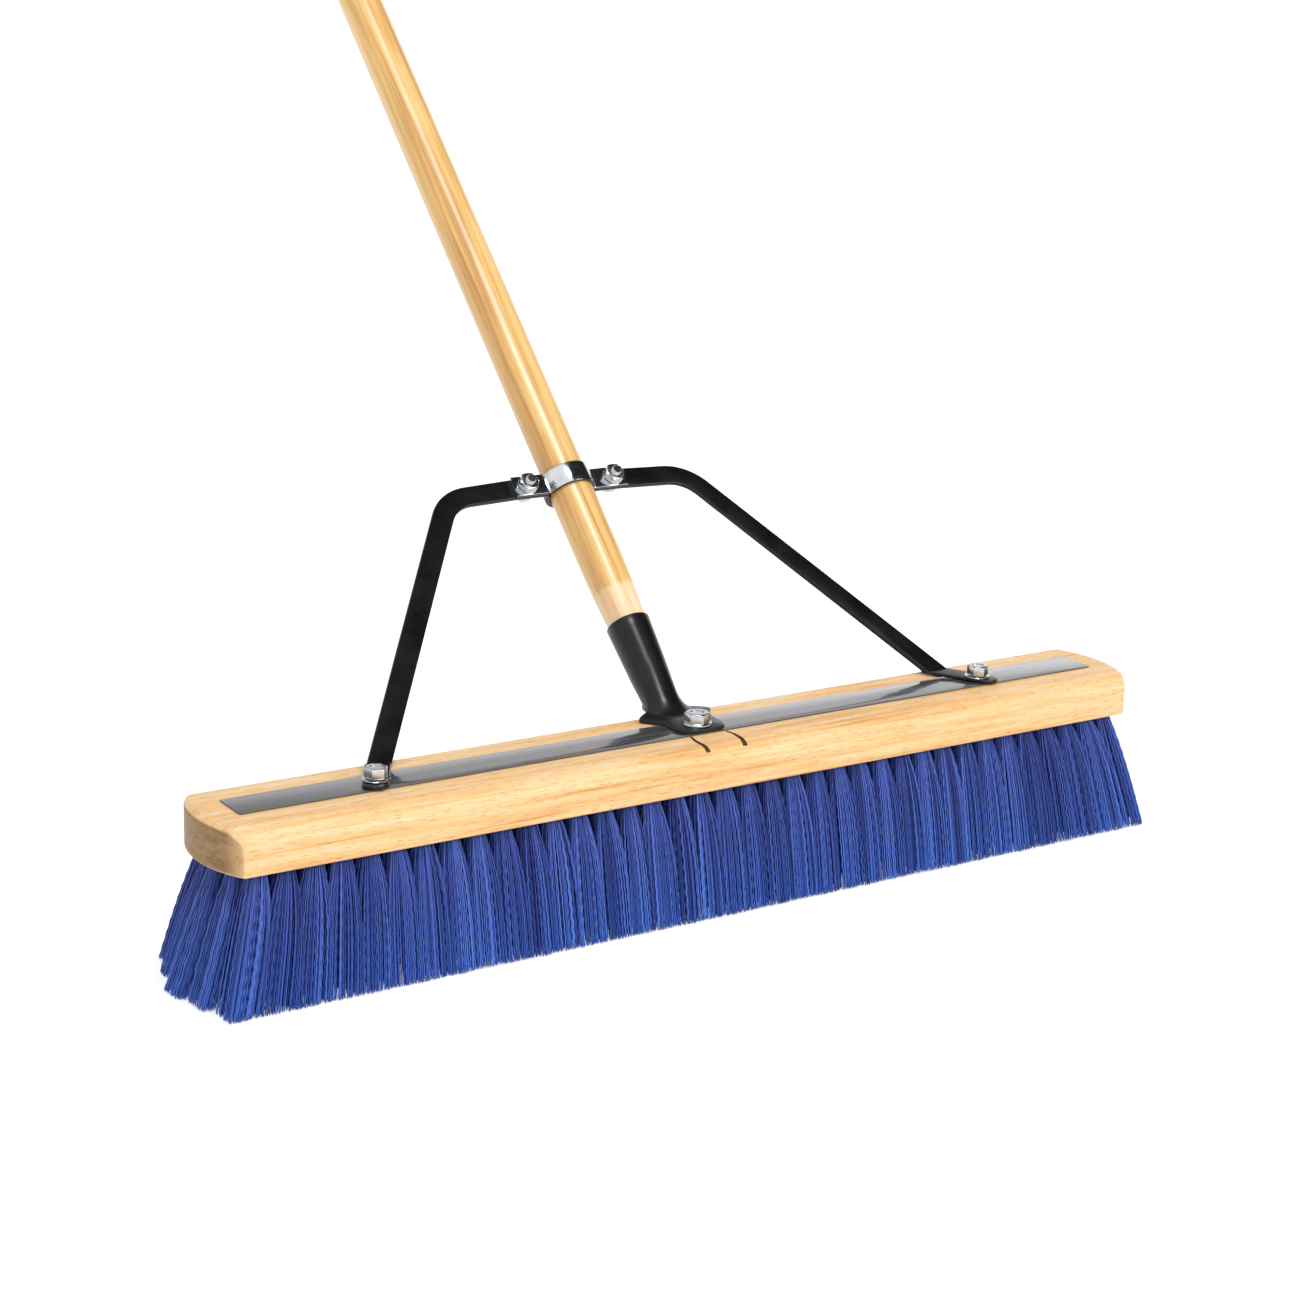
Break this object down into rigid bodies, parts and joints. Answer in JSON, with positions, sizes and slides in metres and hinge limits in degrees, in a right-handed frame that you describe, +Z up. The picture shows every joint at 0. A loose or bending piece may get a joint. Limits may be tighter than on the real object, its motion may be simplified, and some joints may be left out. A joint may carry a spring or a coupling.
{
  "type": "push broom",
  "caption": "Push broom: wooden block with rows of crimped blue bristle tufts, a wooden handle in a steel socket, and a bolted flat-steel brace clamped to the handle.",
  "frame": {"origin": "on the floor, under the middle of the block, at the centre of the bristle tips", "axes": "+Z up; +X along the block; +Y towards the back of the broom, the way the handle leans; -Y towards the front"},
  "size_m": [0.6346, 1.1775, 1.1802],
  "materials": {
    "block_wood": "clear-sealed pale hardwood, fine grain along the block",
    "strip_laminate": "glossy dark grey laminate, unprinted",
    "bristle_fibre": "crimped blue synthetic filament",
    "handle_wood": "glossy amber lacquer over straight-grained hardwood, bare at the tapered end",
    "black_paint": "glossy black enamel on steel",
    "zinc_plate": "bright zinc plating"
  },
  "bodies": {
    "root": {"block": "block_wood", "label_strip": "strip_laminate", "tuft_row_1": "bristle_fibre", "tuft_row_2": "bristle_fibre", "tuft_row_3": "bristle_fibre", "tuft_row_4": "bristle_fibre", "tuft_row_5": "bristle_fibre", "handle": "handle_wood", "handle_socket": "black_paint", "socket_screw": "zinc_plate", "brace": "black_paint", "clamp_strap": "zinc_plate", "clamp_bolt_left": "zinc_plate", "clamp_bolt_right": "zinc_plate", "clamp_nut_left": "zinc_plate", "clamp_nut_right": "zinc_plate", "foot_screw_left": "zinc_plate", "foot_screw_right": "zinc_plate", "foot_washer_left": "zinc_plate", "foot_washer_right": "zinc_plate"}
  },
  "joints": []
}
